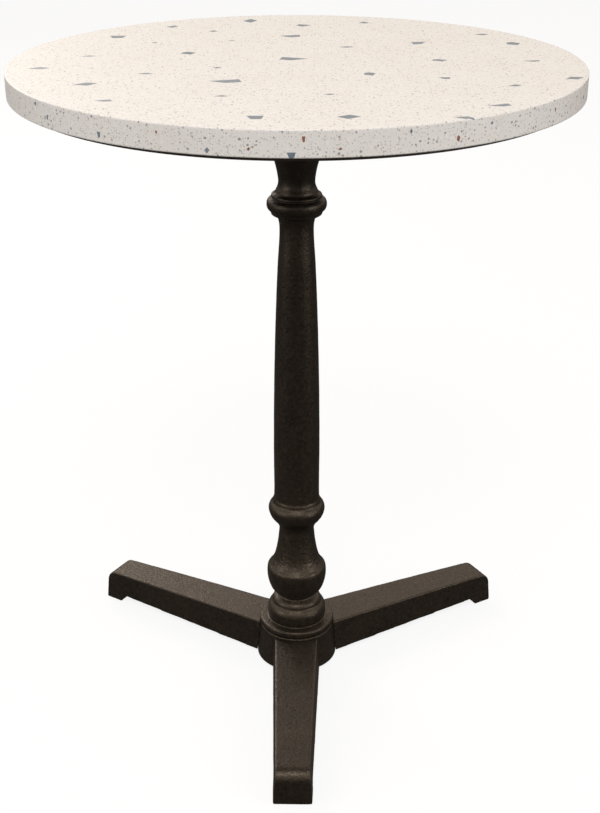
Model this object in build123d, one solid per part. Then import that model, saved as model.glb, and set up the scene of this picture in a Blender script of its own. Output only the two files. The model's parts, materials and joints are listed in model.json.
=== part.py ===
from build123d import *

# Bistro table: a round terrazzo top on a turned cast-iron column, clamped by one long tie rod
# to a cast hub that carries three separately cast legs with screw-in levelling glides.
# Millimetres, +Z up. The origin is on the floor under the column, and the front leg points along -Y.

import os
from math import cos, hypot, radians, tan

# ---- driving dimensions ----
TABLE_HEIGHT = 740
TOP_RADIUS = 300
SLAB_THICKNESS = 25
BOARD_THICKNESS = 5
FOOT_REACH = 286  # column axis to the end of a foot
HUB_RADIUS = 49.5  # at the bottom; the barrel narrows a little upwards, as its mould needs
LEG_ANGLES = {"front": -90, "left": 150, "right": 30}

# ---- clearances ----
THREAD_GAP = 0.05  # radial play between a plain shank and the hole that stands for its thread
BOLT_PLAY = 0.5  # radial play of a bolt in a through hole
SPIGOT_GAP = 0.1  # radial play of a centring spigot in its socket
RUNNING_GAP = 0.06  # radial play where a glide stud turns in its disc
OVERRUN = 5  # how far a shape that is cut by another runs past the cut

# ---- heights, from the floor up ----
HUB_BOTTOM = 4.6
HUB_CEILING = 36  # roof of the hollow under the hub
HUB_TOP = 48.6
COLUMN_TOP = 690
BOARD_BOTTOM = TABLE_HEIGHT - SLAB_THICKNESS - BOARD_THICKNESS
SLAB_BOTTOM = TABLE_HEIGHT - SLAB_THICKNESS

# ---- terrazzo slab and backing board ----
SLAB_ARRIS = 1.2
BOARD_RADIUS = TOP_RADIUS - 11
TOP_SCREW_CIRCLE = 150  # radius
TOP_SCREW_ANGLES = (45, 135, 225, 315)
INSERT_RADIUS = 5
INSERT_LENGTH = 12
INSERT_HOLE_DEPTH = 13
INSERT_GROOVE = 0.6
RESIN_GAP = 0.1  # radial layer of resin round an insert

# ---- spider under the top ----
SPIDER_BOSS_RADIUS = 38
SPIDER_PLATE = 6
ARM_ROOT_WIDTH = 40
ARM_TIP_RADIUS = 14
RIB_WIDTH = 9
RIB_END = 126
RIB_HOLLOW = 3  # how far the rib's underside curves up from straight
NUT_POCKET_RADIUS = 15
NUT_POCKET_DEPTH = 15
TOP_SPIGOT_RADIUS = 16
TOP_SPIGOT_LENGTH = 6

# ---- column ----
COLUMN_CORE = 13  # radius of the hollow that the tie rod runs through
SOCKET_RELIEF = 1  # a socket is this much deeper than its spigot

# ---- hub ----
HUB_TOP_RADIUS = 45
HUB_LOW_EDGE = 1.2  # how much each rim of the barrel is rounded
HUB_HIGH_EDGE = 0.6
CUP_RADIUS = 40
BOLT_PAD_REACH = 34  # column axis to the flat inside the hub that takes a leg's bolts
BASE_SPIGOT_RADIUS = 20
BASE_SPIGOT_LENGTH = 6.5

# ---- legs (widths are at the floor; the sides lean in by the draft) ----
LEG_ROOT_WIDTH = 58
LEG_TIP_WIDTH = 43.4
LEG_DRAFT = 3.5  # degrees
LEG_TOP_AT_HUB = 47.5
LEG_UNDERSIDE_AT_HUB = 5.4
LEG_TOP_AT_TOE = 40.2
LEG_SOFT_EDGE = 1.6
NOSE_RADIUS = 14
PAD_LENGTH = 24
PAD_UNDERSIDE = 0.3
PAD_SOFT_EDGE = 1.5
INSTEP_LENGTH = 9  # the curved step from the pad up to the leg's underside
INSTEP_HEIGHT = 10.2
LEG_WALL = 7
LEG_ROOF = 8
ROOT_BLOCK_END = 74
CHANNEL_END = 244

# ---- leg bolts (M8) ----
LEG_BOLT_OFFSET = 12  # each side of the leg's centre line
LEG_BOLT_HEIGHT = 22
LEG_BOLT_LENGTH = 30
LEG_BOLT_HOLE_END = 68

# ---- levelling glides (M8) ----
GLIDE_REACH = FOOT_REACH - 12.5  # close to the middle of the pad
GLIDE_DISC_RADIUS = 8
GLIDE_DISC_HEIGHT = 5.5
GLIDE_POCKET_RADIUS = 9
GLIDE_POCKET_TOP = 12.5
GLIDE_STUD_TOP = 30
GLIDE_HOLE_TOP = 31.5
GLIDE_HEAD_RADIUS = 4.6
GLIDE_HEAD_BOTTOM = 2
GLIDE_HEAD_TOP = 3.8
GLIDE_NECK_RADIUS = 3

# ---- metric fasteners: shank radius, width across flats, head and nut heights, washer ----
M6 = {"shank": 3, "flats": 10, "head": 4, "washer": 6, "washer_thickness": 1.6}
M8 = {"shank": 4, "flats": 13, "head": 5.3, "washer": 8, "washer_thickness": 1.6}
M12 = {"shank": 6, "flats": 19, "nut": 10.8, "washer": 12, "washer_thickness": 2.5}
TOP_SCREW_LENGTH = 20
ROD_PROUD = 1.2  # how far the tie rod stands past its nuts
LEAD_IN = 0.8  # chamfer at the end of a shank
HEX_CHAMFER_ANGLE = 30


# ---- shared shapes ----
def outline_edges(stations):
    """Edges from station to station. A station is (across, up, bulge): bulge is how far the stretch
    that ends there swells to the right of its direction, and 0 is a straight line."""
    edges = []
    for (x0, z0, _), (x1, z1, bulge) in zip(stations, stations[1:]):
        start, end = (x0, 0, z0), (x1, 0, z1)
        if bulge:
            length = hypot(x1 - x0, z1 - z0)
            middle_x = (x0 + x1) / 2 + bulge * (z1 - z0) / length
            middle_z = (z0 + z1) / 2 - bulge * (x1 - x0) / length
            edges.append(ThreePointArc(start, (middle_x, 0, middle_z), end))
        else:
            edges.append(Line(start, end))
    return edges


def outline_face(stations):
    """Flat face in the XZ plane, closed by a straight line from the last station to the first."""
    return make_face(outline_edges(stations + [(*stations[0][:2], 0)]))


def turned(stations, bore=0):
    """Solid of revolution between an outline, given from the bottom up, and a straight bore."""
    bottom, top = stations[0][1], stations[-1][1]
    closed = [(bore, bottom, 0)] + stations + [(bore, top, 0)]
    return revolve(outline_face(closed), Axis.Z)


def rod(radius, bottom, top):
    """Upright cylinder between two heights."""
    return Pos(0, 0, bottom) * extrude(Circle(radius), top - bottom)


def ring(outer, inner, bottom, top):
    """Upright tube between two heights."""
    return Pos(0, 0, bottom) * extrude(Circle(outer) - Circle(inner), top - bottom)


def hexagon(flats, bottom, height):
    """Hexagonal prism with the corners of both ends turned off, as on a forged nut."""
    corner = flats / 2 / cos(radians(30))
    drop = (corner - flats / 2) * tan(radians(HEX_CHAMFER_ANGLE))
    prism = extrude(RegularPolygon(flats / 2, 6, major_radius=False), height)
    turned_corners = turned(
        [(flats / 2, 0, 0), (corner, drop, 0), (corner, height - drop, 0), (flats / 2, height, 0)]
    )
    return Pos(0, 0, bottom) * (prism & turned_corners)


def hex_bolt(size, length):
    """Bolt pointing up, with the underside of its head at the origin."""
    shank = turned(
        [(size["shank"], 0, 0), (size["shank"], length - LEAD_IN, 0), (size["shank"] - LEAD_IN, length, 0)]
    )
    return hexagon(size["flats"], -size["head"], size["head"]) + shank


def at_angles(shape, angles):
    """Copies of a shape turned about Z to each angle."""
    return [Rot(0, 0, angle) * shape for angle in angles]


def at_top_screws(shape):
    """Copies of an upright shape at the four top screws."""
    return at_angles(Pos(TOP_SCREW_CIRCLE, 0, 0) * shape, TOP_SCREW_ANGLES)


def at_leg_bolts(shape):
    """Copies of an upright shape, laid along each leg's two bolts, with its origin at the bolt pads."""
    laid = [
        Pos(BOLT_PAD_REACH, side * LEG_BOLT_OFFSET, LEG_BOLT_HEIGHT) * Rot(0, 90, 0) * shape
        for side in (-1, 1)
    ]
    return [copy for bolt in laid for copy in at_angles(bolt, LEG_ANGLES.values())]


# ---- top ----
def terrazzo_top():
    """Stone slab with eased arrises and four blind holes for the inserts."""
    slab = rod(TOP_RADIUS, SLAB_BOTTOM, TABLE_HEIGHT)
    slab = fillet(slab.edges(), SLAB_ARRIS)
    hole = rod(INSERT_RADIUS + RESIN_GAP, SLAB_BOTTOM, SLAB_BOTTOM + INSERT_HOLE_DEPTH)
    return slab - at_top_screws(hole)


def backing_board():
    """Thin board glued under the stone, with a through hole for each top screw."""
    board = rod(BOARD_RADIUS, BOARD_BOTTOM, SLAB_BOTTOM)
    return board - at_top_screws(rod(M6["shank"] + BOLT_PLAY, BOARD_BOTTOM, SLAB_BOTTOM))


def top_inserts():
    """Four grooved threaded inserts set in resin in the slab."""
    groove = INSERT_RADIUS - INSERT_GROOVE
    third = INSERT_LENGTH / 3
    outline = [
        (INSERT_RADIUS, 0, 0),
        (INSERT_RADIUS, third, 0),
        (groove, third + INSERT_GROOVE, 0),
        (groove, 2 * third - INSERT_GROOVE, 0),
        (INSERT_RADIUS, 2 * third, 0),
        (INSERT_RADIUS, INSERT_LENGTH, 0),
    ]
    insert = Pos(0, 0, SLAB_BOTTOM) * turned(outline, M6["shank"] + THREAD_GAP)
    return Compound(children=at_top_screws(insert))


# ---- spider and its screws ----
def spider_arm():
    """One arm along +X: a flat plate with a rounded, drilled tip and a rib that tapers away under it."""
    plate_bottom = BOARD_BOTTOM - SPIDER_PLATE
    root, tip = ARM_ROOT_WIDTH / 2, ARM_TIP_RADIUS
    corners = [(0, -root), (TOP_SCREW_CIRCLE, -tip), (TOP_SCREW_CIRCLE, tip), (0, root)]
    plan = make_face(Polyline(*corners, close=True))
    plan += Pos(TOP_SCREW_CIRCLE, 0) * Circle(tip)
    plate = Pos(0, 0, plate_bottom) * extrude(plan, SPIDER_PLATE)
    rib_side = outline_face(
        [
            (0, COLUMN_TOP + 1, 0),
            (SPIDER_BOSS_RADIUS, COLUMN_TOP + 1, 0),
            (RIB_END, plate_bottom, -RIB_HOLLOW),
            (0, plate_bottom, 0),
        ]
    )
    return plate + extrude(rib_side, RIB_WIDTH / 2, both=True)


def top_spider():
    """Cast cross that carries the top: four ribbed arms on a boss, with a pocket for the tie rod's nut."""
    boss = [
        (SPIDER_BOSS_RADIUS - 2, COLUMN_TOP, 0),
        (SPIDER_BOSS_RADIUS, COLUMN_TOP + 2, 0.6),
        (SPIDER_BOSS_RADIUS, BOARD_BOTTOM, 0),
    ]
    spider = turned(boss)
    for arm in at_angles(spider_arm(), TOP_SCREW_ANGLES):
        spider += arm
    spider += rod(TOP_SPIGOT_RADIUS, COLUMN_TOP - TOP_SPIGOT_LENGTH, COLUMN_TOP)
    spider -= rod(M12["shank"] + BOLT_PLAY, COLUMN_TOP - TOP_SPIGOT_LENGTH, BOARD_BOTTOM)
    spider -= rod(NUT_POCKET_RADIUS, BOARD_BOTTOM - NUT_POCKET_DEPTH, BOARD_BOTTOM)
    return spider - at_top_screws(rod(M6["shank"] + BOLT_PLAY, BOARD_BOTTOM - SPIDER_PLATE, BOARD_BOTTOM))


def top_screw_washers():
    """Washers between the spider's arms and the screw heads."""
    top = BOARD_BOTTOM - SPIDER_PLATE
    washer = ring(M6["washer"], M6["shank"] + BOLT_PLAY, top - M6["washer_thickness"], top)
    return Compound(children=at_top_screws(washer))


def top_screws():
    """Four M6 screws, from under the spider up into the inserts."""
    head_face = BOARD_BOTTOM - SPIDER_PLATE - M6["washer_thickness"]
    return Compound(children=at_top_screws(Pos(0, 0, head_face) * hex_bolt(M6, TOP_SCREW_LENGTH)))


# ---- column ----
COLUMN_OUTLINE = [
    # foot: a flange with a rounded rim, a torus, a groove and a small ring
    (45, HUB_TOP, 0),
    (45, 58.1, 1),
    (34, 58.1, 0),
    (35.8, 67.1, 1),
    (30.4, 80.3, 2),
    (30, 81.1, 0),
    (30.2, 82.3, 0),
    (24.6, 88.5, 1.2),
    # neck and vase: a round bowl up to a sharp shoulder, then a long hollow sweep
    (22.5, 90.1, 0),
    (22.8, 92.5, -0.3),
    (33.2, 104.8, 1.6),
    (35.6, 130.4, 1.6),
    (26, 147.9, -1.5),
    (21.2, 184.8, -1),
    # lower ring: a torus under a thin fillet
    (28.6, 196.8, -0.9),
    (34, 209.7, 1.1),
    (28.6, 219.9, 1.6),
    (27.8, 224.3, 0.4),
    (27.2, 226.7, -0.2),
    # shaft, with a slow swell
    (27, 234.7, 0),
    (19.1, 561.8, 2.6),
    # upper ring: fillet, torus, groove and fillet
    (21.5, 573.2, -0.5),
    (27.4, 575.8, -0.7),
    (28.6, 579.8, 0.6),
    (33.2, 587.2, 1.5),
    (29, 594.7, 1.5),
    (27.4, 594.9, 0),
    (27.4, 598.9, 0.8),
    # neck and capital, up to the spider
    (23.2, 603.3, -1.2),
    (20.3, 613.2, -0.8),
    (24.6, 635.6, -0.6),
    (33, 664, -1),
    (36, 667, 0),
    (36, 680, 1),
    (34, COLUMN_TOP, -1),
]


def column():
    """Hollow casting, turned outside, with a socket at each end for the hub's and spider's spigots."""
    low_socket_top = HUB_TOP + BASE_SPIGOT_LENGTH + SOCKET_RELIEF
    high_socket_bottom = COLUMN_TOP - TOP_SPIGOT_LENGTH - SOCKET_RELIEF
    casting = turned(COLUMN_OUTLINE, COLUMN_CORE)
    casting -= rod(BASE_SPIGOT_RADIUS + SPIGOT_GAP, HUB_TOP, low_socket_top)
    return casting - rod(TOP_SPIGOT_RADIUS + SPIGOT_GAP, high_socket_bottom, COLUMN_TOP)


# ---- tie rod ----
TOP_WASHER_BOTTOM = BOARD_BOTTOM - NUT_POCKET_DEPTH
TOP_NUT_BOTTOM = TOP_WASHER_BOTTOM + M12["washer_thickness"]
BOTTOM_WASHER_BOTTOM = HUB_CEILING - M12["washer_thickness"]
BOTTOM_NUT_BOTTOM = BOTTOM_WASHER_BOTTOM - M12["nut"]


def tie_rod():
    """M12 rod from inside the hub to the spider's pocket, chamfered at both ends."""
    radius = M12["shank"]
    bottom = BOTTOM_NUT_BOTTOM - ROD_PROUD
    top = TOP_NUT_BOTTOM + M12["nut"] + ROD_PROUD
    return turned(
        [
            (radius - LEAD_IN, bottom, 0),
            (radius, bottom + LEAD_IN, 0),
            (radius, top - LEAD_IN, 0),
            (radius - LEAD_IN, top, 0),
        ]
    )


def tie_rod_nut(bottom):
    """M12 hexagon nut."""
    hole = rod(M12["shank"] + THREAD_GAP, bottom, bottom + M12["nut"])
    return hexagon(M12["flats"], bottom, M12["nut"]) - hole


def tie_rod_washer(bottom):
    """M12 plain washer."""
    return ring(M12["washer"], M12["shank"] + BOLT_PLAY, bottom, bottom + M12["washer_thickness"])


# ---- hub ----
def barrel_radius(height):
    """The hub's outside radius at a height."""
    share = (height - HUB_BOTTOM) / (HUB_TOP - HUB_BOTTOM)
    return HUB_RADIUS + (HUB_TOP_RADIUS - HUB_RADIUS) * share


def base_hub():
    """Barrel casting, hollow underneath, with a bolt pad inside for each leg and a spigot on top."""
    low, high = HUB_BOTTOM + HUB_LOW_EDGE, HUB_TOP - HUB_HIGH_EDGE
    hub = turned(
        [
            (HUB_RADIUS - HUB_LOW_EDGE, HUB_BOTTOM, 0),
            (barrel_radius(low), low, HUB_LOW_EDGE / 4),
            (barrel_radius(high), high, 0),
            (HUB_TOP_RADIUS - HUB_HIGH_EDGE, HUB_TOP, HUB_HIGH_EDGE / 4),
        ]
    )
    cup = rod(CUP_RADIUS, HUB_BOTTOM, HUB_CEILING)
    pad_depth = CUP_RADIUS - BOLT_PAD_REACH
    pad = Pos(BOLT_PAD_REACH + pad_depth / 2, 0, HUB_TOP / 2) * Box(pad_depth, 2 * CUP_RADIUS, HUB_TOP)
    cup -= at_angles(pad, LEG_ANGLES.values())
    hub -= cup
    hub += rod(BASE_SPIGOT_RADIUS, HUB_TOP, HUB_TOP + BASE_SPIGOT_LENGTH)
    hub -= rod(M12["shank"] + BOLT_PLAY, HUB_CEILING, HUB_TOP + BASE_SPIGOT_LENGTH)
    return hub - at_leg_bolts(rod(M8["shank"] + BOLT_PLAY, 0, HUB_RADIUS - BOLT_PAD_REACH))


# ---- legs and their bolts ----
def leg_half_width(reach):
    """Half the leg's width at a distance from the column axis: the leg tapers evenly to its foot."""
    share = (reach - HUB_RADIUS) / (FOOT_REACH - HUB_RADIUS)
    return (LEG_ROOT_WIDTH + (LEG_TIP_WIDTH - LEG_ROOT_WIDTH) * share) / 2


def tapered_plan(start, end, inset=0):
    """Plan outline of a stretch of the leg along +X, pulled in from the leg's sides by the inset."""
    near, far = leg_half_width(start) - inset, leg_half_width(end) - inset
    return make_face(Polyline((start, -near), (end, -far), (end, far), (start, near), close=True))


def leg_body():
    """The leg's outside along +X: its side outline cut to the tapered and drafted plan, with a round nose
    and softened edges along its top, down the corners of its toe and under its pad."""
    inside_hub = HUB_RADIUS - LEG_ROOT_WIDTH / 3
    past_toe = FOOT_REACH + OVERRUN
    pad_end = FOOT_REACH - PAD_LENGTH
    side = outline_face(
        [
            (inside_hub, LEG_UNDERSIDE_AT_HUB, 0),
            (pad_end - INSTEP_LENGTH, INSTEP_HEIGHT, 0),
            (pad_end, PAD_UNDERSIDE, -1.2),
            (past_toe, PAD_UNDERSIDE, 0),
            (past_toe, LEG_TOP_AT_TOE, 0),
            (inside_hub, LEG_TOP_AT_HUB + 0.3, 0.5),
        ]
    )
    plan = tapered_plan(inside_hub, FOOT_REACH)
    body = extrude(side, LEG_ROOT_WIDTH, both=True) & extrude(plan, TABLE_HEIGHT / 10, taper=LEG_DRAFT)
    end_face = body.faces().sort_by(Axis.X)[-1]
    body = fillet(end_face.edges().sort_by(Axis.Z)[-1], NOSE_RADIUS)
    side_faces = body.faces().sort_by(Axis.Y)
    top_edges = [face.edges().sort_by(Axis.Z)[-1] for face in (side_faces[0], side_faces[-1])]
    body = fillet(top_edges, LEG_SOFT_EDGE)
    pad_edges = body.faces().sort_by(Axis.Z)[0].edges().sort_by(Axis.X)[1:]
    return fillet(pad_edges, PAD_SOFT_EDGE)


def leg_channel():
    """Hollow under the leg between the root block and the foot, as wide as the walls allow."""
    slope = (LEG_TOP_AT_HUB - LEG_TOP_AT_TOE) / (FOOT_REACH - PAD_LENGTH - HUB_RADIUS)
    roof_start = LEG_TOP_AT_HUB - LEG_ROOF - slope * (ROOT_BLOCK_END - HUB_RADIUS)
    roof_end = LEG_TOP_AT_HUB - LEG_ROOF - slope * (CHANNEL_END - HUB_RADIUS)
    side = outline_face(
        [
            (ROOT_BLOCK_END, 0, 0),
            (CHANNEL_END, 0, 0),
            (CHANNEL_END, roof_end, 0),
            (ROOT_BLOCK_END, roof_start, 0),
        ]
    )
    plan = tapered_plan(ROOT_BLOCK_END, CHANNEL_END, LEG_WALL)
    plan = fillet(plan.vertices(), LEG_WALL / 2)
    return extrude(side, LEG_ROOT_WIDTH, both=True) & extrude(plan, LEG_TOP_AT_HUB)


def saddle():
    """The hub's barrel, carried on above and below it, which hollows a leg's root to fit."""
    above = HUB_TOP + OVERRUN
    return turned([(barrel_radius(0), 0, 0), (barrel_radius(above), above, 0)])


def leg():
    """One leg along +X, ready to be turned into place."""
    casting = leg_body() - leg_channel() - saddle()
    for side in (-1, 1):
        hole = rod(M8["shank"] + THREAD_GAP, 0, LEG_BOLT_HOLE_END - BOLT_PAD_REACH)
        casting -= Pos(BOLT_PAD_REACH, side * LEG_BOLT_OFFSET, LEG_BOLT_HEIGHT) * Rot(0, 90, 0) * hole
    casting -= Pos(GLIDE_REACH, 0, 0) * rod(GLIDE_POCKET_RADIUS, 0, GLIDE_POCKET_TOP)
    return casting - Pos(GLIDE_REACH, 0, 0) * rod(M8["shank"] + THREAD_GAP, 0, GLIDE_HOLE_TOP)


def leg_bolt_washers():
    """Washers on the hub's bolt pads."""
    washer = ring(M8["washer"], M8["shank"] + BOLT_PLAY, -M8["washer_thickness"], 0)
    return Compound(children=at_leg_bolts(washer))


def leg_bolts():
    """Six M8 bolts, from inside the hub outwards into the legs."""
    return Compound(children=at_leg_bolts(Pos(0, 0, -M8["washer_thickness"]) * hex_bolt(M8, LEG_BOLT_LENGTH)))


# ---- levelling glides ----
def glide_disc():
    """Foot disc that stays still on the floor, with a socket that the stud's head snaps into."""
    mouth = GLIDE_NECK_RADIUS + RUNNING_GAP
    socket = GLIDE_HEAD_RADIUS + RUNNING_GAP
    disc = turned(
        [
            (GLIDE_DISC_RADIUS - 1, 0, 0),
            (GLIDE_DISC_RADIUS, 1, 0.3),
            (GLIDE_DISC_RADIUS, GLIDE_DISC_HEIGHT - 1.5, 0),
            (GLIDE_DISC_RADIUS - 1.5, GLIDE_DISC_HEIGHT, 0.4),
        ]
    )
    disc -= rod(socket, GLIDE_HEAD_BOTTOM - RUNNING_GAP, GLIDE_HEAD_TOP + RUNNING_GAP)
    return disc - rod(mouth, GLIDE_HEAD_TOP, GLIDE_DISC_HEIGHT)


def glide_stud():
    """Threaded stud: a turned head in the disc, a neck, a hexagon for the spanner and an M8 shank."""
    hexagon_bottom = GLIDE_DISC_HEIGHT + 0.5
    stud = rod(GLIDE_HEAD_RADIUS, GLIDE_HEAD_BOTTOM, GLIDE_HEAD_TOP)
    stud += rod(GLIDE_NECK_RADIUS, GLIDE_HEAD_TOP, hexagon_bottom)
    stud += hexagon(M8["flats"], hexagon_bottom, M8["head"])
    shank_radius = M8["shank"]
    return stud + turned(
        [
            (shank_radius, hexagon_bottom + M8["head"], 0),
            (shank_radius, GLIDE_STUD_TOP - LEAD_IN, 0),
            (shank_radius - LEAD_IN, GLIDE_STUD_TOP, 0),
        ]
    )


# ---- assembly ----
def make_nodes():
    """Every separate piece by its node name."""
    nodes = {
        "terrazzo_top": terrazzo_top(),
        "backing_board": backing_board(),
        "top_inserts": top_inserts(),
        "top_spider": top_spider(),
        "top_screw_washers": top_screw_washers(),
        "top_screws": top_screws(),
        "column": column(),
        "tie_rod": tie_rod(),
        "tie_rod_top_nut": tie_rod_nut(TOP_NUT_BOTTOM),
        "tie_rod_top_washer": tie_rod_washer(TOP_WASHER_BOTTOM),
        "tie_rod_bottom_nut": tie_rod_nut(BOTTOM_NUT_BOTTOM),
        "tie_rod_bottom_washer": tie_rod_washer(BOTTOM_WASHER_BOTTOM),
        "base_hub": base_hub(),
        "leg_bolt_washers": leg_bolt_washers(),
        "leg_bolts": leg_bolts(),
    }
    one_leg = leg()
    for name, angle in LEG_ANGLES.items():
        turn = Rot(0, 0, angle)
        nodes[f"leg_{name}"] = turn * one_leg
        nodes[f"glide_disc_{name}"] = turn * Pos(GLIDE_REACH, 0, 0) * glide_disc()
        nodes[f"glide_stud_{name}"] = turn * Pos(GLIDE_REACH, 0, 0) * glide_stud()
    return nodes


os.makedirs("parts", exist_ok=True)
for node, shape in make_nodes().items():
    export_step(shape, f"parts/{node}.step")
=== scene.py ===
import json
import math
import random

import bmesh
import bpy
import numpy as np
from mathutils import Matrix, Vector, geometry, noise

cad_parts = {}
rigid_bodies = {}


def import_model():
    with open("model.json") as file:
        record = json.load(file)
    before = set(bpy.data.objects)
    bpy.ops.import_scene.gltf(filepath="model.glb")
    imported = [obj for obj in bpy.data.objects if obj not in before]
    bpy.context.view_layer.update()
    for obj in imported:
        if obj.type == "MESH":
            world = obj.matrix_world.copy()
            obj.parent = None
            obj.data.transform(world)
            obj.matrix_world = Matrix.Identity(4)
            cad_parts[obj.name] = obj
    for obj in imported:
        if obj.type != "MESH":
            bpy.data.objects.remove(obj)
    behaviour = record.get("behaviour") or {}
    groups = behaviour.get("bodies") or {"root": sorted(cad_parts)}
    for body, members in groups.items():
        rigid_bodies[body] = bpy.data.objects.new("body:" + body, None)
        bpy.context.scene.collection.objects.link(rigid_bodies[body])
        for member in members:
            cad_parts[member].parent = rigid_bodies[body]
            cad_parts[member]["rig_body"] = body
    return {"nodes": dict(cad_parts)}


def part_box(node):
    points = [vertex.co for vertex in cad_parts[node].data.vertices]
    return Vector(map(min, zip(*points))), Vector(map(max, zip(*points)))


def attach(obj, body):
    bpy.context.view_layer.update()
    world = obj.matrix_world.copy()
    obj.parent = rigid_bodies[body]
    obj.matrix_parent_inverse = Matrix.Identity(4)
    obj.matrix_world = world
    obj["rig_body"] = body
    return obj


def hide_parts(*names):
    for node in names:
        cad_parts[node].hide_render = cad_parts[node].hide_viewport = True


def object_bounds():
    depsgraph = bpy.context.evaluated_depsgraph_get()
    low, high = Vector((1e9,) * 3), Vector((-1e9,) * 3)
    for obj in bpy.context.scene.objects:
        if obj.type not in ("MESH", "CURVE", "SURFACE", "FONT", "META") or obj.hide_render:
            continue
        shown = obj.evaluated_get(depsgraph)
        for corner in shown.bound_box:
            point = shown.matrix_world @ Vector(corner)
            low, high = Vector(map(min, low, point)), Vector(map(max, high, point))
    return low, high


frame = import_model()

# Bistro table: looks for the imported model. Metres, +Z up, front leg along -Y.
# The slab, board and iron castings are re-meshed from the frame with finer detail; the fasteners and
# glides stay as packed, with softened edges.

MM = 0.001
CAD_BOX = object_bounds()
LEG_TURNS = {"leg_front": 0, "leg_right": 120, "leg_left": 240}  # degrees about Z from the front leg


# ---- pieces ----
def show_piece(name, mesh, node, materials):
    """Shows a mesh in place of a CAD node, on the node's body and with the materials given."""
    cad_node = frame["nodes"][node]
    for material in materials:
        mesh.materials.append(material)
    piece = bpy.data.objects.new(name, mesh)
    bpy.context.scene.collection.objects.link(piece)
    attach(piece, cad_node["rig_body"])
    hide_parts(node)
    return piece


def mesh_from(name, points, faces):
    """Smooth-shaded mesh from points and faces."""
    mesh = bpy.data.meshes.new(name)
    mesh.from_pydata([tuple(point) for point in points], [], faces)
    mesh.shade_smooth()
    mesh.update()
    return mesh


def circle(radius, count, centre=(0, 0)):
    """Points evenly round a circle in the plane."""
    turns = [2 * math.pi * step / count for step in range(count)]
    return [(centre[0] + radius * math.cos(turn), centre[1] + radius * math.sin(turn)) for turn in turns]


def closed_edges(first, count):
    """Edges that join a run of numbered points into a loop."""
    return [(first + step, first + (step + 1) % count) for step in range(count)]


# ---- terrazzo slab ----
SLAB_LOW, SLAB_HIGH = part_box("terrazzo_top")
SLAB_RADIUS = SLAB_HIGH.x
SLAB_ARRIS = 1.2 * MM
SLAB_STEPS = 360  # points round the slab and the board
FLAT_RADIUS = SLAB_RADIUS - SLAB_ARRIS
ARC_LENGTH = SLAB_ARRIS * math.pi / 2
SIDE_LENGTH = SLAB_HIGH.z - SLAB_LOW.z - 2 * SLAB_ARRIS
SHADING_GUARD = 0.5 * MM  # a ring of points this close to a rounded rim keeps the flat beside it flat
ARC_STEPS = 4  # strips across an arris, and down the side
TOP_GRID = 12 * MM  # spacing of the points inside the top
PLANE_TOLERANCE = 1e-7  # points of a plane mesh closer than this are one point
WELD_DISTANCE = 0.01 * MM
SHARP_ANGLE = math.radians(50)  # a sharper fold than this is shaded as a corner
HOLE_STEPS = 32

# Slate chips in the top: millimetres right of and behind the centre, width, depth, turn, outline.
# A negative width mirrors the outline.
CHIP_OUTLINES = {
    "kite": ((-1, -0.1), (0, -1), (1, 0.1), (0.1, 1)),
    "wedge": ((-1, -0.5), (-0.2, -1), (1, 0.1), (-0.8, 1)),
    "block": ((-1, -0.5), (0.5, -1), (1, 0.3), (-0.1, 1), (-0.9, 0.7)),
    "sliver": ((-1, -0.2), (0.1, -1), (1, -0.3), (0.2, 1)),
    "keystone": ((-0.4, -1), (0.7, -0.8), (1, 1), (-1, 0.9)),
}
CHIPS = (
    (-60, 256, 14, 20, 0, "kite"),
    (77, 245, 11, 11, 10, "sliver"),
    (5, 224, 14, 14, 0, "wedge"),
    (-150, 212, 12, 14, 0, "kite"),
    (-100, 182, 9, 8, 0, "sliver"),
    (210, 165, 15, 8, 8, "sliver"),
    (-10, 151, -21, 13, 0, "wedge"),
    (-207, 142, 15, 13, 0, "keystone"),
    (-75, 120, 10, 4, 0, "sliver"),
    (132, 110, -13, 17, -25, "wedge"),
    (240, 107, 13, 14, 0, "block"),
    (-160, 106, 7, 6, 0, "kite"),
    (53, 84, 16, 7, 0, "sliver"),
    (-117, 45, 12, 12, 0, "block"),
    (-222, 26, 16, 6, 12, "sliver"),
    (-2, 16, 25, 14, 0, "wedge"),
    (150, 9, 13, 10, -10, "block"),
    (245, 7, -17, 7, 0, "wedge"),
    (-81, -34, 9, 7, 0, "kite"),
    (-262, -40, 20, 10, 15, "sliver"),
    (74, -64, 10, 12, 0, "block"),
    (-150, -65, 15, 6, 0, "sliver"),
    (275, -81, 18, 12, 20, "kite"),
    (147, -82, -10, 8, -20, "wedge"),
    (-69, -101, -26, 14, 0, "wedge"),
    (-203, -117, 21, 12, 15, "kite"),
    (212, -117, 13, 7, 15, "sliver"),
    (33, -159, 9, 5, 0, "sliver"),
    (-68, -168, 12, 5, 5, "sliver"),
    (-176, -190, -15, 7, 5, "wedge"),
    (187, -203, -19, 9, 10, "wedge"),
    (50, -251, 17, 13, 0, "kite"),
    (151, -252, 17, 8, -10, "sliver"),
    (-33, -255, 13, 11, 0, "keystone"),
)

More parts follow.
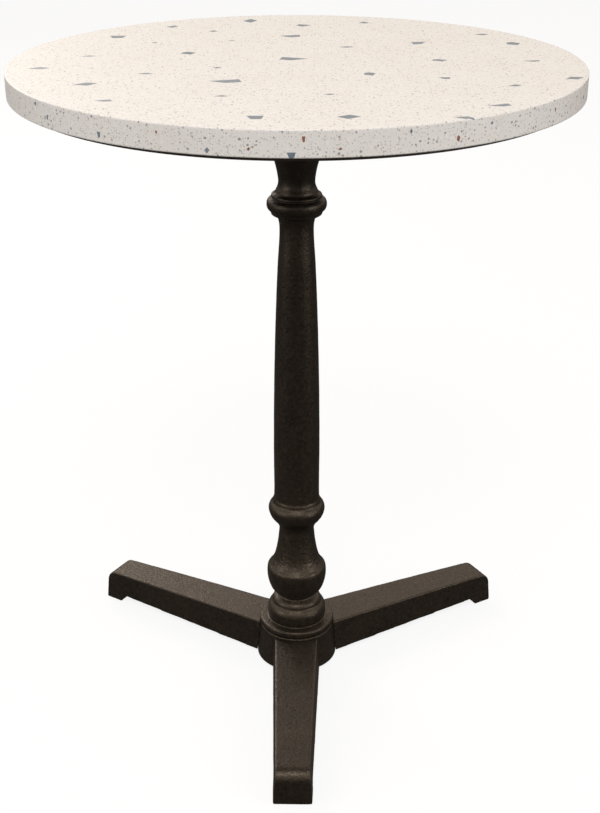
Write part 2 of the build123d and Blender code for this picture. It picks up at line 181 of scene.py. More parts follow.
# Chips cut by the rim: degrees round from the front, millimetres below the top, width, height.
RIM_SLATE = (
    (-53, 5, 2.5, 3),
    (-49, 14, 2.5, 3.5),
    (-35, 18, 3.5, 4),
    (-14, 20, 4.5, 4.5),
    (0, 22, 7, 4),
    (20, 5, 2.5, 4),
    (36, 7, 3, 3),
    (70, 14, 4, 3),
    (105, 7, 5, 4),
    (140, 17, 3, 4),
    (171, 10, 5, 3),
    (205, 19, 4, 4),
    (238, 6, 3, 3),
    (262, 15, 4, 5),
)
RIM_RUST = (
    (-23, 8, 2, 2.5),
    (-7, 17, 3, 2.5),
    (2, 8, 2.5, 4),
    (8, 17, 3.5, 2),
    (29, 16, 3, 4.5),
    (54, 10, 2.5, 3),
    (120, 13, 3, 3),
    (190, 8, 3, 2.5),
    (250, 18, 3, 3),
)
CEMENT, SLATE, RUST = range(3)  # material places on the slab
INSERT_RADIUS = 5 * MM
RESIN_GAP = 0.1 * MM  # resin round an insert
SOCKET_PAST_INSERT = 1 * MM  # how far a blind hole runs past its insert
CHIP_SEED = 7
CHIP_FILL = (0.60, 0.64)  # half sizes of an outline, for a listed width and depth of 1
CHIP_NUDGE = 0.12  # how far a corner may stray, in those half sizes
GOLDEN = 0.618  # steps of this share, modulo 1, give neighbours in the list unlike tones


def on_skin(across, back):
    """Point on the slab for a point of its unrolled skin: the flat top, then the upper arris, the side
    and the lower arris laid out round it."""
    reach = math.hypot(across, back)
    past = reach - FLAT_RADIUS
    if past <= 0:
        return (across, back, SLAB_HIGH.z)
    if past <= ARC_LENGTH:
        turn = past / SLAB_ARRIS
        radius = FLAT_RADIUS + SLAB_ARRIS * math.sin(turn)
        height = SLAB_HIGH.z - SLAB_ARRIS * (1 - math.cos(turn))
    elif past <= ARC_LENGTH + SIDE_LENGTH:
        radius = SLAB_RADIUS
        height = SLAB_HIGH.z - SLAB_ARRIS - (past - ARC_LENGTH)
    else:
        turn = min((past - ARC_LENGTH - SIDE_LENGTH) / SLAB_ARRIS, math.pi / 2)
        radius = FLAT_RADIUS + SLAB_ARRIS * math.cos(turn)
        height = SLAB_LOW.z + SLAB_ARRIS * (1 - math.sin(turn))
    return (across / reach * radius, back / reach * radius, height)


def chip_outline(centre, width, depth, turn, outline, dice):
    """A chip's corners on the unrolled skin, each nudged a little so that no two chips match."""
    corners = []
    for x, y in outline:
        x = (x + dice.uniform(-CHIP_NUDGE, CHIP_NUDGE)) * width * CHIP_FILL[0]
        y = (y + dice.uniform(-CHIP_NUDGE, CHIP_NUDGE)) * depth * CHIP_FILL[1]
        corners.append(
            (
                centre[0] + x * math.cos(turn) - y * math.sin(turn),
                centre[1] + x * math.sin(turn) + y * math.cos(turn),
            )
        )
    area = sum(a[0] * b[1] - b[0] * a[1] for a, b in zip(corners, corners[1:] + corners[:1]))
    return corners if area > 0 else corners[::-1]


def all_chips():
    """Every chip as (corners on the unrolled skin, material place)."""
    dice = random.Random(CHIP_SEED)
    chips = []
    for across, back, width, depth, turn, shape in CHIPS:
        centre = (across * MM, back * MM)
        corners = chip_outline(
            centre, width * MM, depth * MM, math.radians(turn), CHIP_OUTLINES[shape], dice
        )
        chips.append((corners, SLATE))
    for rim_chips, place in ((RIM_SLATE, SLATE), (RIM_RUST, RUST)):
        for degrees, drop, width, height in rim_chips:
            around = math.radians(degrees - 90)  # the front is at -90 degrees from +X
            reach = FLAT_RADIUS + ARC_LENGTH + drop * MM - SLAB_ARRIS
            centre = (reach * math.cos(around), reach * math.sin(around))
            shape = dice.choice(("kite", "block", "keystone"))
            corners = chip_outline(
                centre, width * MM, height * MM, around + math.pi / 2, CHIP_OUTLINES[shape], dice
            )
            chips.append((corners, place))
    return chips


def grid_points(radius):
    """Points of a square grid that lie inside a circle."""
    reach = int(FLAT_RADIUS / TOP_GRID)
    lines = [step * TOP_GRID for step in range(-reach, reach + 1)]
    return [(row, column) for row in lines for column in lines if math.hypot(row, column) < radius]


def slab_skin(bm, tone):
    """The slab's top, side and arrises, with every chip as its own faces."""
    side_start = FLAT_RADIUS + ARC_LENGTH
    side_end = side_start + SIDE_LENGTH
    rings = [FLAT_RADIUS - SHADING_GUARD]
    rings += [FLAT_RADIUS + ARC_LENGTH * step / ARC_STEPS for step in range(ARC_STEPS + 1)]
    rings += [side_start + SHADING_GUARD]
    rings += [side_start + SIDE_LENGTH * step / ARC_STEPS for step in range(1, ARC_STEPS)]
    rings += [side_end - SHADING_GUARD]
    rings += [side_end + ARC_LENGTH * step / ARC_STEPS for step in range(ARC_STEPS + 1)]

    points, edges, polygons = [], [], []
    for ring in rings:
        edges += closed_edges(len(points), SLAB_STEPS)
        points += circle(ring, SLAB_STEPS)
    chips = all_chips()
    for corners, _ in chips:
        polygons.append(list(range(len(points), len(points) + len(corners))))
        points += corners
    points += grid_points(rings[0] - TOP_GRID / 3)

    flat_points, _, faces, _, _, sources = geometry.delaunay_2d_cdt(
        [Vector(point) for point in points], edges, polygons, 0, PLANE_TOLERANCE
    )
    vertices = [bm.verts.new(on_skin(*point)) for point in flat_points]
    for face, source in zip(faces, sources):
        made = bm.faces.new([vertices[index] for index in face])
        if source:
            made.material_index = chips[source[0]][1]
            made[tone] = (source[0] * GOLDEN) % 1
    cement = [face for face in bm.faces if face.material_index == CEMENT]
    bmesh.ops.join_triangles(
        bm, faces=cement, cmp_materials=True, angle_face_threshold=0.5, angle_shape_threshold=0.7
    )


def insert_sockets():
    """Centre, radius and top of each blind hole for an insert, from the inserts' box."""
    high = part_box("top_inserts")[1]
    reach = high.x - INSERT_RADIUS
    radius, top = INSERT_RADIUS + RESIN_GAP, high.z + SOCKET_PAST_INSERT
    return [((x, y), radius, top) for x in (-reach, reach) for y in (-reach, reach)]


def flat_with_holes(bm, radius, holes, height):
    """Flat triangulated disc at a height, with an opening for each loop of points in holes."""
    points, edges, polygons = [], [], []
    for reach in (radius, radius - SHADING_GUARD):
        edges += closed_edges(len(points), SLAB_STEPS)
        points += circle(reach, SLAB_STEPS)
    for hole in holes:
        polygons.append(list(range(len(points), len(points) + len(hole))))
        points += hole
    flat_points, _, faces, _, _, sources = geometry.delaunay_2d_cdt(
        [Vector(point) for point in points], edges, polygons, 0, PLANE_TOLERANCE
    )
    vertices = [bm.verts.new((point.x, point.y, height)) for point in flat_points]
    for face, source in zip(faces, sources):
        if not source:
            bm.faces.new([vertices[index] for index in face])


def drill_walls(bm, hole, bottom, top, capped):
    """Wall of a round hole between two heights, with a flat end if it is blind."""
    low = [bm.verts.new((x, y, bottom)) for x, y in hole]
    high = [bm.verts.new((x, y, top)) for x, y in hole]
    for (a, b), (c, d) in zip(zip(low, low[1:] + low[:1]), zip(high, high[1:] + high[:1])):
        bm.faces.new((a, b, d, c))
    if capped:
        bm.faces.new(high)


def finished_mesh(bm, name):
    """Mesh with its doubled points merged, every face turned outwards, and only real corners sharp."""
    bmesh.ops.remove_doubles(bm, verts=bm.verts, dist=WELD_DISTANCE)
    bmesh.ops.recalc_face_normals(bm, faces=bm.faces)
    mesh = bpy.data.meshes.new(name)
    bm.to_mesh(mesh)
    bm.free()
    mesh.shade_smooth()
    mesh.set_sharp_from_angle(angle=SHARP_ANGLE)
    return mesh


def terrazzo_slab():
    """Slab with eased arrises, chips in its top and rim, and four blind holes under it."""
    bm = bmesh.new()
    tone = bm.faces.layers.float.new("tone")
    slab_skin(bm, tone)
    sockets = insert_sockets()
    holes = [circle(radius, HOLE_STEPS, centre) for centre, radius, _ in sockets]
    flat_with_holes(bm, FLAT_RADIUS, holes, SLAB_LOW.z)
    for hole, (_, _, top) in zip(holes, sockets):
        drill_walls(bm, hole, SLAB_LOW.z, top, capped=True)
    return finished_mesh(bm, "terrazzo_slab")


# ---- backing board ----
BOARD_SOFT_EDGE = 0.6 * MM
SCREW_HOLE_RADIUS = 3.5 * MM
SCREW_HOLE_STEPS = 24


def board_panel():
    """Thin round board with softened edges and a clear hole for each screw."""
    low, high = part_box("backing_board")
    radius, soft = high.x, BOARD_SOFT_EDGE
    holes = [circle(SCREW_HOLE_RADIUS, SCREW_HOLE_STEPS, centre) for centre, _, _ in insert_sockets()]
    bm = bmesh.new()
    inset = soft * (1 - math.cos(math.radians(45)))  # of the point half way round the soft edge
    profile = [
        (radius - soft, low.z),
        (radius - inset, low.z + inset),
        (radius, low.z + soft),
        (radius, high.z - soft),
        (radius - inset, high.z - inset),
        (radius - soft, high.z),
    ]
    rings = [
        [bm.verts.new((x, y, height)) for x, y in circle(reach, SLAB_STEPS)] for reach, height in profile
    ]
    for lower, upper in zip(rings, rings[1:]):
        for step in range(SLAB_STEPS):
            after = (step + 1) % SLAB_STEPS
            bm.faces.new((lower[step], lower[after], upper[after], upper[step]))
    for height in (low.z, high.z):
        flat_with_holes(bm, radius - soft, holes, height)
    for hole in holes:
        drill_walls(bm, hole, low.z, high.z, capped=False)
    return finished_mesh(bm, "board_panel")


# ---- column ----
COLUMN_STEPS = 120
COLUMN_STEP_LENGTH = 1.2 * MM
BORE_STEP_LENGTH = 6 * MM
CORNER = math.radians(25)  # a sharper turn than this in the outline is a real corner
COLUMN_SOFTENING = 2  # passes
VASE_SHOULDER = 140 * MM  # height of the vase's shoulder, where the casting is roughest
VASE_SHOULDER_REACH = 18 * MM


def seam_outline(node):
    """Closed outline that a turned CAD node was made from, as (radius, height) points in order, read
    off the mesh edges that lie in the half-plane y = 0, x > 0."""
    mesh = frame["nodes"][node].data
    in_plane = {
        vertex.index: (round(vertex.co.x, 6), round(vertex.co.z, 6))
        for vertex in mesh.vertices
        if vertex.co.x > 0 and abs(vertex.co.y) < 1e-6
    }
    neighbours = {}
    for edge in mesh.edges:
        ends = [in_plane.get(index) for index in edge.vertices]
        if None not in ends and ends[0] != ends[1]:
            neighbours.setdefault(ends[0], set()).add(ends[1])
            neighbours.setdefault(ends[1], set()).add(ends[0])
    start = max(point for point in neighbours if point[1] == min(z for _, z in neighbours))
    outline = [start]
    onward = max(neighbours[start], key=lambda point: point[1])
    while onward != start:
        outline.append(onward)
        onward = next(point for point in neighbours[onward] if point != outline[-2])
    return np.array(outline)


def smooth_outline(outline):
    """The outline resampled evenly, with a curve between its points except at real corners."""
    count = len(outline)
    chords = np.roll(outline, -1, axis=0) - outline
    lengths = np.linalg.norm(chords, axis=1)
    directions = chords / lengths[:, None]
    bore = outline[:, 0].min()
    points = []
    for index in range(count):
        here, there = outline[index], outline[(index + 1) % count]
        leaving, arriving = directions[index], directions[index]
        before, after = directions[index - 1], directions[(index + 1) % count]
        if before @ leaving > math.cos(CORNER):
            leaving = (before + directions[index]) / np.linalg.norm(before + directions[index])
        if after @ arriving > math.cos(CORNER):
            arriving = (after + directions[index]) / np.linalg.norm(after + directions[index])
        in_bore = here[0] == bore and there[0] == bore
        steps = max(1, round(lengths[index] / (BORE_STEP_LENGTH if in_bore else COLUMN_STEP_LENGTH)))
        for share in np.arange(steps) / steps:  # a cubic that leaves and arrives along those directions
            rest = 1 - share
            points.append(
                (1 + 2 * share) * rest**2 * here
                + share * rest**2 * lengths[index] * leaving
                + (3 - 2 * share) * share**2 * there
                - share**2 * rest * lengths[index] * arriving
            )
    return np.array(points)


def soften(points, passes):
    """Rounds a closed run of points slightly, as a casting's corners are."""
    for _ in range(passes):
        points = (np.roll(points, 1, axis=0) + 2 * points + np.roll(points, -1, axis=0)) / 4
    return points


def turned_mesh(name, outline, steps):
    """Mesh of a closed outline of (radius, height) points turned about Z."""
    turns = 2 * np.pi * np.arange(steps) / steps
    points = np.stack(
        [
            np.outer(outline[:, 0], np.cos(turns)),
            np.outer(outline[:, 0], np.sin(turns)),
            np.repeat(outline[:, 1:], steps, axis=1),
        ],
        axis=-1,
    ).reshape(-1, 3)
    rows = len(outline)
    faces = []
    for row in range(rows):
        here, there = row * steps, (row + 1) % rows * steps
        for step in range(steps):
            after = (step + 1) % steps
            faces.append((here + step, here + after, there + after, there + step))
    return mesh_from(name, points, faces)


def column_casting():
    """The turned column with softened corners."""
    outline = soften(smooth_outline(seam_outline("column")), COLUMN_SOFTENING)
    return turned_mesh("column_casting", outline, COLUMN_STEPS)


# ---- other castings ----
CASTING_GRAIN = 1.0 * MM  # voxel size
HOLLOWS, HOLLOW_DEPTH = 40, 0.18 * MM  # cells per metre and depth of each layer of a sand-cast skin
GRAIN, GRAIN_DEPTH = 420, 0.10 * MM
PITS, PIT_DEPTH = 300, 0.40 * MM
BAND_LUMPS, BAND_DEPTH = 330, 1.2 * MM
PIT_LEVEL = 0.35  # noise above this is a pit
COLUMN_SEED, HUB_SEED, LEG_SEED = 3, 5, 11  # the spider follows the hub, and each leg the one before
CREST_BEND = 200  # bend, per metre, that counts as a full crest
CREST_SPREAD = 4  # passes that spread a crest's mark


def remeshed(node, name):
    """A CAD node's shape as an even, softly rounded mesh."""
    source = bpy.data.objects.new(name, frame["nodes"][node].data.copy())
    bpy.context.scene.collection.objects.link(source)
    remesh = source.modifiers.new("even", "REMESH")
    remesh.mode = "VOXEL"
    remesh.voxel_size = CASTING_GRAIN
    smooth = source.modifiers.new("soften", "SMOOTH")
    smooth.factor = 0.5
    smooth.iterations = 3
    shape = source.evaluated_get(bpy.context.evaluated_depsgraph_get())
    mesh = bpy.data.meshes.new_from_object(shape)
    mesh.materials.clear()
    mesh.name = name
    bpy.data.objects.remove(source)
    mesh.shade_smooth()
    return mesh


def weather(mesh, seed, rough_band=None):
    """Sand-cast skin: every point sinks along its normal by slow hollows, a fine grain and scattered
    pits, and by more in a rough band of (middle height, reach). Nothing rises, so a casting stays clear
    of its neighbours."""
    start = Vector((seed * 1.7, seed * 0.9, seed * 0.4))
    moved = np.zeros(len(mesh.vertices) * 3)
    for index, vertex in enumerate(mesh.vertices):
        place = vertex.co + start
        hollow = noise.fractal(place * HOLLOWS, 1, 2, 2)
        grain = noise.noise(place * GRAIN)
        pit = max(0, noise.noise(place * PITS + start) - PIT_LEVEL) / (1 - PIT_LEVEL)
        depth = HOLLOW_DEPTH * (0.5 + 0.5 * hollow) + GRAIN_DEPTH * (0.5 + 0.5 * grain)
        depth += PIT_DEPTH * pit
        if rough_band:
            middle, reach = rough_band
            near = max(0, 1 - abs(vertex.co.z - middle) / reach)
            depth += BAND_DEPTH * near * max(0, noise.noise(place * BAND_LUMPS))
        moved[3 * index : 3 * index + 3] = vertex.co - vertex.normal * max(0, depth)
    mesh.vertices.foreach_set("co", moved)
    mesh.update()


def mark_edges(mesh):
    """Stores how far each point stands out of its neighbours, as the attribute edge: 0 flat, 1 a crest."""
    count = len(mesh.vertices)
    place = np.empty(count * 3)
    mesh.vertices.foreach_get("co", place)
    place = place.reshape(-1, 3)
    normal = np.empty(count * 3)
    mesh.vertex_normals.foreach_get("vector", normal)
    normal = normal.reshape(-1, 3)
    ends = np.empty(len(mesh.edges) * 2, np.int32)
    mesh.edges.foreach_get("vertices", ends)
    first, second = ends.reshape(-1, 2).T
    degree = np.bincount(ends, minlength=count)

    def neighbour_mean(values):
        total = np.bincount(first, values[second], count) + np.bincount(second, values[first], count)
        return total / degree

    length = np.linalg.norm(place[first] - place[second], axis=1)
    spacing = (np.bincount(first, length, count) + np.bincount(second, length, count)) / degree
    mean_place = np.stack([neighbour_mean(place[:, axis]) for axis in range(3)], axis=1)
    bend = np.einsum("ij,ij->i", place - mean_place, normal) / spacing**2
    for _ in range(CREST_SPREAD):
        bend = (bend + neighbour_mean(bend)) / 2
    edge = mesh.attributes.new("edge", "FLOAT", "POINT")
    edge.data.foreach_set("value", np.clip(bend / CREST_BEND, -1, 1).astype(np.float32))


def leg_castings():
    """The same casting three times, turned into place and weathered on its own each time."""
    shared = remeshed("leg_front", "leg_casting")
    castings = {}
    for number, (node, turn) in enumerate(LEG_TURNS.items()):
        mesh = shared.copy()
        mesh.name = node
        mesh.transform(Matrix.Rotation(math.radians(turn), 4, "Z"))
        mesh.update()
        weather(mesh, LEG_SEED + number)
        mark_edges(mesh)
        castings[node] = mesh
    return castings


# ---- materials ----
# Colours are linear RGB. A cloud's numbers are its cells per metre, its layers and their roughness. The
# first two numbers of a spread over a cloud are the noise levels between which the pattern comes in.
def new_material(name):
    """A material's node tree and its main shader."""
    material = bpy.data.materials.new(name)
    material.use_nodes = True
    tree = material.node_tree
    return material, tree, tree.nodes["Principled BSDF"]


def add_node(tree, kind, inputs=None, **settings):
    """A node with its settings made. Each input takes a value or another node's output."""
    made = tree.nodes.new(kind)
    for key, value in settings.items():
        setattr(made, key, value)
    for key, value in (inputs or {}).items():
        if isinstance(value, bpy.types.NodeSocket):
            tree.links.new(value, made.inputs[key])
        else:
            made.inputs[key].default_value = value
    return made


def object_place(tree):
    """Coordinates in metres that move with the piece."""
    return add_node(tree, "ShaderNodeTexCoord").outputs["Object"]


def cloud(tree, place, scale, detail=2, roughness=0.5):
    """Smooth noise between 0 and 1, with scale in cells per metre."""
    inputs = {"Vector": place, "Scale": scale, "Detail": detail, "Roughness": roughness}
    return add_node(tree, "ShaderNodeTexNoise", inputs).outputs["Fac"]


def maths(tree, operation, a, b):
    """Arithmetic on two values."""
    return add_node(tree, "ShaderNodeMath", {0: a, 1: b}, operation=operation).outputs[0]


def spread(tree, value, low, high, to_low=0.0, to_high=1.0):
    """Maps a value from one range to another, held at the ends."""
    inputs = {"Value": value, "From Min": low, "From Max": high, "To Min": to_low, "To Max": to_high}
    return add_node(tree, "ShaderNodeMapRange", inputs).outputs["Result"]


def blended(tree, share, first, second):
    """Colour between two colours."""
    made = add_node(tree, "ShaderNodeMix", data_type="RGBA")
    colour_inputs = [socket for socket in made.inputs if socket.type == "RGBA"]
    for socket, value in ((made.inputs[0], share), (colour_inputs[0], first), (colour_inputs[1], second)):
        if isinstance(value, bpy.types.NodeSocket):
            tree.links.new(value, socket)
        elif socket.type == "RGBA":
            socket.default_value = (*value, 1)
        else:
            socket.default_value = value
    return next(socket for socket in made.outputs if socket.type == "RGBA")


def vector_maths(tree, operation, a, b):
    """Arithmetic on two vectors, axis by axis."""
    return add_node(tree, "ShaderNodeVectorMath", {0: a, 1: b}, operation=operation).outputs[0]


def shifted(tree, place, amount=0.37):
    """The same coordinates moved on, so that a second pattern doesn't repeat the first."""
    return vector_maths(tree, "ADD", place, (amount,) * 3)


def raised(tree, shader, height, distance):
    """Drives the shader's normal from a height between 0 and 1, with the distance in metres."""
    bump = add_node(tree, "ShaderNodeBump", {"Height": height, "Distance": distance, "Strength": 1.0})
    tree.links.new(bump.outputs["Normal"], shader.inputs["Normal"])


def grains(tree, place, scale, share, size, soft=0.1):
    """Scattered angular grains: (coverage 0 to 1, a random colour per grain). Scale is cells per
    metre, share is how many cells hold a grain and size is how much of its cell a grain fills."""
    cells = add_node(tree, "ShaderNodeTexVoronoi", {"Vector": place, "Scale": scale})
    tint = add_node(tree, "ShaderNodeSeparateColor", {"Color": cells.outputs["Color"]})
    held = maths(tree, "LESS_THAN", tint.outputs["Red"], share)
    reach = spread(tree, tint.outputs["Green"], 0, 1, size * 0.5, size)
    inside = spread(tree, maths(tree, "SUBTRACT", reach, cells.outputs["Distance"]), 0, soft)
    return maths(tree, "MULTIPLY", held, inside), tint.outputs["Blue"]


def cement_material():
    """Honed white cement full of fine sand, with darker and rust-coloured grains, its paste painted
    lighter on the side and darker on the top as painted light and shade.
    """
    # painted light and shade: the side's paste colour is painted lighter and the top's painted darker, for
    # how the lamps fall on them
    side_paste_painted_light, top_paste_painted_shade, warm_paste = (0.77, 0.76, 0.745), (0.735, 0.722, 0.70), (0.70, 0.66, 0.61)
    grey_sand, brown_sand, dust_brown = (0.24, 0.235, 0.24), (0.48, 0.42, 0.36), (0.42, 0.38, 0.34)
    slate_grain, rust_grain, white_marble = (0.12, 0.13, 0.15), (0.26, 0.14, 0.10), (0.86, 0.84, 0.80)
    material, tree, shader = new_material("terrazzo_cement")
    place = object_place(tree)
    wobble = add_node(tree, "ShaderNodeTexNoise", {"Vector": place, "Scale": 500.0, "Detail": 2.0})
    offset = vector_maths(tree, "MULTIPLY", wobble.outputs["Color"], (1.2 * MM,) * 3)
    place = vector_maths(tree, "ADD", place, offset)

    normal = add_node(tree, "ShaderNodeNewGeometry").outputs["Normal"]
    facing_up = add_node(tree, "ShaderNodeSeparateXYZ", {"Vector": normal}).outputs["Z"]
    # painted light and shade: the paste turns from the lighter side colour to the darker top colour as the
    # surface faces up
    on_top = spread(tree, facing_up, 0.3, 0.9)
    paste = blended(tree, on_top, side_paste_painted_light, top_paste_painted_shade)
    patches = spread(tree, cloud(tree, place, 14.0, 3), 0.3, 0.7)
    paste = blended(tree, maths(tree, "MULTIPLY", patches, 0.25), paste, warm_paste)
    dust = spread(tree, cloud(tree, place, 900.0, 2), 0.35, 0.65, 0, 0.12)
    colour = blended(tree, dust, paste, dust_brown)

    sand, sand_tint = grains(tree, place, scale=520.0, share=0.5, size=0.5)
    sand_colour = blended(tree, sand_tint, grey_sand, brown_sand)
    sand_strength = spread(tree, on_top, 0, 1, 0.6, 0.5)
    colour = blended(tree, maths(tree, "MULTIPLY", sand, sand_strength), colour, sand_colour)

    dark, dark_tint = grains(tree, place, scale=270.0, share=0.30, size=0.40)
    dark_colour = blended(tree, spread(tree, dark_tint, 0.62, 0.75), slate_grain, rust_grain)
    dark_strength = spread(tree, on_top, 0, 1, 0.7, 0.6)
    colour = blended(tree, maths(tree, "MULTIPLY", dark, dark_strength), colour, dark_colour)

    marble, _ = grains(tree, shifted(tree, place), scale=210.0, share=0.35, size=0.5)
    colour = blended(tree, maths(tree, "MULTIPLY", marble, 0.3), colour, white_marble)

    tree.links.new(colour, shader.inputs["Base Color"])
    rough = spread(tree, cloud(tree, place, 260.0, 3), 0.3, 0.7, 0.42, 0.62)
    tree.links.new(rough, shader.inputs["Roughness"])
    shader.inputs["Specular IOR Level"].default_value = 0.35
    pits, _ = grains(tree, shifted(tree, place, 0.7), scale=330.0, share=0.12, size=0.3)
    surface = maths(tree, "SUBTRACT", cloud(tree, place, 700.0, 2), pits)
    raised(tree, shader, surface, 0.06 * MM)
    return material


def chip_material(name, dark, light):
    """Polished chip of stone with its own tone, faint veins and a darker grain."""
    material, tree, shader = new_material(name)
    place = object_place(tree)
    tone = add_node(tree, "ShaderNodeAttribute", attribute_name="tone").outputs["Fac"]
    veins = spread(tree, cloud(tree, place, 160.0, 4, 0.6), 0.35, 0.65)
    colour = blended(tree, maths(tree, "MULTIPLY", maths(tree, "ADD", tone, veins), 0.5), dark, light)
    fine = spread(tree, cloud(tree, place, 1500.0, 2), 0.55, 0.75, 0, 0.35)
    colour = blended(tree, fine, colour, tuple(channel * 0.45 for channel in dark))
    tree.links.new(colour, shader.inputs["Base Color"])
    tree.links.new(spread(tree, veins, 0, 1, 0.3, 0.45), shader.inputs["Roughness"])
    raised(tree, shader, cloud(tree, place, 900.0, 2), 0.02 * MM)
    return material


def cast_iron_material():
    """Dark lacquered iron, browner and brighter where it is rubbed along its edges."""
    dark_lacquer, brown_lacquer = (0.0070, 0.0056, 0.0043), (0.0125, 0.0094, 0.0068)
    mottle_brown, rubbed_brown = (0.023, 0.017, 0.012), (0.045, 0.033, 0.024)
    material, tree, shader = new_material("cast_iron_lacquer")
    place = object_place(tree)
    edge = add_node(tree, "ShaderNodeAttribute", attribute_name="edge").outputs["Fac"]
    patches = spread(tree, cloud(tree, place, 22.0, 4, 0.6), 0.35, 0.65)
    colour = blended(tree, patches, dark_lacquer, brown_lacquer)
    mottle = spread(tree, cloud(tree, place, 180.0, 3, 0.6), 0.45, 0.7)
    colour = blended(tree, maths(tree, "MULTIPLY", mottle, 0.5), colour, mottle_brown)
    broken = spread(tree, cloud(tree, place, 320.0, 3, 0.7), 0.3, 0.6)
    worn = maths(tree, "MULTIPLY", spread(tree, edge, 0.35, 0.9), broken)
    colour = blended(tree, maths(tree, "MULTIPLY", worn, 0.3), colour, rubbed_brown)
    tree.links.new(colour, shader.inputs["Base Color"])
    rough = spread(tree, cloud(tree, place, 240.0, 4, 0.7), 0.32, 0.68, 0.22, 0.52)
    tree.links.new(rough, shader.inputs["Roughness"])
    shader.inputs["Specular Tint"].default_value = (1.0, 0.82, 0.63, 1)
    skin = maths(tree, "ADD", cloud(tree, place, 750.0, 3, 0.6), cloud(tree, place, 280.0, 2))
    raised(tree, shader, skin, 0.30 * MM)
    return material


def board_material():
    """Thin dark stained board, with a faint grain along X."""
    material, tree, shader = new_material("board_stain")
    place = object_place(tree)
    along = vector_maths(tree, "MULTIPLY", place, (1.0, 14.0, 6.0))
    grain = spread(tree, cloud(tree, along, 45.0, 4, 0.6), 0.35, 0.65)
    colour = blended(tree, grain, (0.022, 0.014, 0.010), (0.050, 0.032, 0.022))
    tree.links.new(colour, shader.inputs["Base Color"])
    tree.links.new(spread(tree, grain, 0, 1, 0.55, 0.7), shader.inputs["Roughness"])
    raised(tree, shader, grain, 0.04 * MM)
    return material


def metal_material(name, colour, shade, roughness):
    """Plated metal with a slightly uneven colour, dull patches and fine tool marks."""
    material, tree, shader = new_material(name)
    place = object_place(tree)
    patches = spread(tree, cloud(tree, place, 120.0, 3, 0.6), 0.3, 0.7)
    tree.links.new(blended(tree, patches, colour, shade), shader.inputs["Base Color"])
    dull = maths(tree, "MULTIPLY", spread(tree, cloud(tree, place, 420.0, 3), 0.35, 0.7), 0.16)
    tree.links.new(maths(tree, "ADD", dull, roughness), shader.inputs["Roughness"])
    shader.inputs["Metallic"].default_value = 1
    raised(tree, shader, cloud(tree, place, 1600.0, 2), 0.012 * MM)
    return material


def plastic_material():
    """Moulded black plastic, scuffed a little where it slides on the floor."""
    material, tree, shader = new_material("glide_plastic_black")
    place = object_place(tree)
    height = add_node(tree, "ShaderNodeSeparateXYZ", {"Vector": place}).outputs["Z"]
    low = spread(tree, height, 0.0, 1.2 * MM, 1, 0)
    scuffs = maths(tree, "MULTIPLY", low, spread(tree, cloud(tree, place, 900.0, 3), 0.4, 0.6))
    colour = blended(tree, scuffs, (0.018, 0.018, 0.019), (0.10, 0.095, 0.09))
    tree.links.new(colour, shader.inputs["Base Color"])
    tree.links.new(spread(tree, scuffs, 0, 1, 0.42, 0.7), shader.inputs["Roughness"])
    raised(tree, shader, cloud(tree, place, 2200.0, 2), 0.01 * MM)
    return material


def soften_cad_node(node, material, width):
    """Gives a CAD node its material, and rounds its edges without changing its own mesh."""
    piece = frame["nodes"][node]
    piece.material_slots[0].material = material
    weld = piece.modifiers.new("weld", "WELD")
    weld.merge_threshold = 0.002 * MM
    bevel = piece.modifiers.new("soft_edges", "BEVEL")
    bevel.width = width
    bevel.segments = 2
    bevel.limit_method = "ANGLE"
    bevel.angle_limit = math.radians(30)
    bevel.use_clamp_overlap = True
    bevel.harden_normals = False


def dress_top():
    """The slab with its chips, and the board under it."""
    slab_materials = [
        cement_material(),
        chip_material("slate_chip", (0.10, 0.145, 0.19), (0.21, 0.255, 0.29)),
        chip_material("rust_chip", (0.16, 0.06, 0.035), (0.34, 0.17, 0.11)),
    ]
    show_piece("terrazzo_slab", terrazzo_slab(), "terrazzo_top", slab_materials)
    show_piece("board_panel", board_panel(), "backing_board", [board_material()])


def dress_castings():
    """The column, hub, spider and legs, all in the same lacquer."""
    iron = cast_iron_material()
    column = column_casting()
    weather(column, COLUMN_SEED, rough_band=(VASE_SHOULDER, VASE_SHOULDER_REACH))
    mark_edges(column)
    show_piece("column_casting", column, "column", [iron])
    for number, node in enumerate(("base_hub", "top_spider")):
        casting = remeshed(node, f"{node}_casting")
        weather(casting, HUB_SEED + number)
        mark_edges(casting)
        show_piece(f"{node}_casting", casting, node, [iron])
    for node, casting in leg_castings().items():
        show_piece(f"{node}_casting", casting, node, [iron])


def dress_small_parts():
    """Fasteners, inserts and glides: their own meshes, with a finish and softened edges by slot."""
    zinc = metal_material("zinc_plate", (0.56, 0.56, 0.55), (0.38, 0.38, 0.36), 0.26)
    brass = metal_material("turned_brass", (0.72, 0.50, 0.22), (0.52, 0.35, 0.15), 0.24)
    finishes = {
        "zinc_steel": (zinc, 0.25 * MM),
        "brass": (brass, 0.2 * MM),
        "glide_plastic": (plastic_material(), 0.3 * MM),
    }
    for node, cad_node in frame["nodes"].items():
        slot = cad_node.data.materials[0].name
        if slot in finishes:
            soften_cad_node(node, *finishes[slot])


# ---- studio ----
STUDIO_LIGHT = (1.0, 0.96, 0.92)
WARM_WALL = (1.0, 0.86, 0.74)  # behind the table; the legs' tops mirror it
FLOOR_SHADING = 0.14  # share of the floor's brightness that shadows can darken


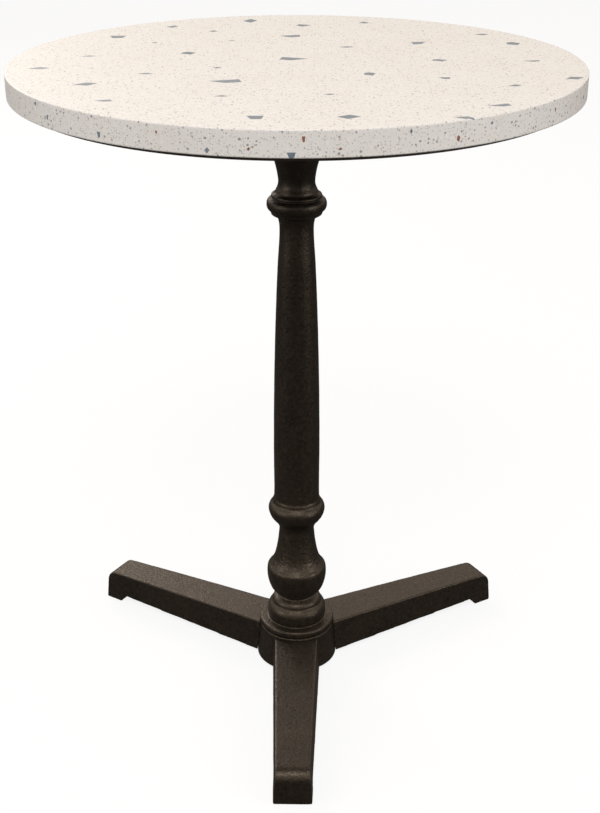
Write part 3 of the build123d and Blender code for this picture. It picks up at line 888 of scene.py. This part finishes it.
def studio_floor():
    """Pale floor, seen by the camera alone, so that it throws no light up under the table. It can be
    looked through from below."""
    bpy.ops.mesh.primitive_plane_add(size=60)
    floor = bpy.context.object
    floor.name = "studio_floor"
    floor.visible_diffuse = False
    floor.visible_glossy = False
    material, tree, shader = new_material("studio_floor")
    shader.inputs["Base Color"].default_value = (0.9, 0.9, 0.9, 1)
    shader.inputs["Roughness"].default_value = 0.9
    shader.inputs["Specular IOR Level"].default_value = 0
    glow = add_node(tree, "ShaderNodeEmission", {"Color": (1, 1, 1, 1), "Strength": 1.0})
    mix = {0: FLOOR_SHADING, 1: glow.outputs[0], 2: shader.outputs[0]}
    lit = add_node(tree, "ShaderNodeMixShader", mix)
    below = add_node(tree, "ShaderNodeNewGeometry").outputs["Backfacing"]
    clear = add_node(tree, "ShaderNodeBsdfTransparent")
    both = add_node(tree, "ShaderNodeMixShader", {0: below, 1: lit.outputs[0], 2: clear.outputs[0]})
    tree.links.new(both.outputs[0], tree.nodes["Material Output"].inputs["Surface"])
    floor.data.materials.append(material)


def studio_world():
    """White backdrop for the camera. As light it is bright round the table, dimmer overhead and dim
    below, with a warmer wall behind."""
    world = bpy.data.worlds.new("studio")
    bpy.context.scene.world = world
    world.use_nodes = True
    tree = world.node_tree
    tree.nodes.clear()
    direction = add_node(tree, "ShaderNodeTexCoord").outputs["Generated"]
    parts = add_node(tree, "ShaderNodeSeparateXYZ", {"Vector": direction})
    # the light's level: how high up it comes in and fades again, then how it tilts to the back and side
    above = spread(tree, parts.outputs["Z"], -0.02, 0.34, 0.075, 1.0)
    zenith = spread(tree, parts.outputs["Z"], 0.58, 0.92, 1.0, 0.35)
    behind = spread(tree, parts.outputs["Y"], -1, 1, 0.95, 1.15)
    sideways = spread(tree, parts.outputs["X"], -1, 1, 1.12, 0.84)
    upright = maths(tree, "MULTIPLY", above, zenith)
    level = maths(tree, "MULTIPLY", upright, maths(tree, "MULTIPLY", behind, sideways))
    warmth = spread(tree, parts.outputs["Y"], 0.1, 0.8)
    colour = blended(tree, warmth, STUDIO_LIGHT, WARM_WALL)
    lighting = add_node(tree, "ShaderNodeBackground", {"Color": colour, "Strength": level})
    backdrop = add_node(tree, "ShaderNodeBackground", {"Color": (1, 1, 1, 1), "Strength": 1.0})
    seen = add_node(tree, "ShaderNodeLightPath").outputs["Is Camera Ray"]
    mix = {0: seen, 1: lighting.outputs[0], 2: backdrop.outputs[0]}
    mixed = add_node(tree, "ShaderNodeMixShader", mix)
    output = add_node(tree, "ShaderNodeOutputWorld")
    tree.links.new(mixed.outputs[0], output.inputs["Surface"])


def soft_box(name, place, target, size, power):
    """Square area light at a place, aimed at a target. Size is in metres and power in watts."""
    light = bpy.data.lights.new(name, "AREA")
    light.shape = "SQUARE"
    light.size = size
    light.energy = power
    light.color = STUDIO_LIGHT
    lamp = bpy.data.objects.new(name, light)
    lamp.location = place
    lamp.rotation_euler = (Vector(target) - Vector(place)).to_track_quat("-Z", "Y").to_euler()
    bpy.context.scene.collection.objects.link(lamp)


def studio_lights():
    """A soft key from high in front, a low fill from each side and a key from behind on the left."""
    height = CAD_BOX[1].z
    middle, top = (0, 0, height / 2), (0, 0, height)
    soft_box("front_key", (-0.1, -2.6, 3.7), middle, 1.5, 74)
    soft_box("front_right_fill", (3.0, -1.5, 1.2), top, 1.6, 35)
    soft_box("front_left_fill", (-3.0, -1.3, 1.2), top, 1.6, 23)
    soft_box("back_left_key", (-1.6, 2.6, 2.2), middle, 1.6, 35)


def studio_camera():
    """Camera at standing height in front of the table, looking down at it."""
    distance, height = 1.4489, 1.0156  # from the column's axis, and above the floor
    azimuth, pitch = math.radians(0.89), math.radians(24.90)
    data = bpy.data.cameras.new("camera")
    data.sensor_width = 36
    data.lens = 60.69
    data.shift_x = 0.0041  # the column stands a little left of the picture's middle
    camera = bpy.data.objects.new("camera", data)
    camera.location = (distance * math.sin(azimuth), -distance * math.cos(azimuth), height)
    camera.rotation_euler = (math.pi / 2 - pitch, 0, azimuth)
    bpy.context.scene.collection.objects.link(camera)
    bpy.context.scene.camera = camera
    bpy.context.scene.view_settings.view_transform = "Standard"


dress_top()
dress_castings()
dress_small_parts()
studio_floor()
studio_world()
studio_lights()
studio_camera()
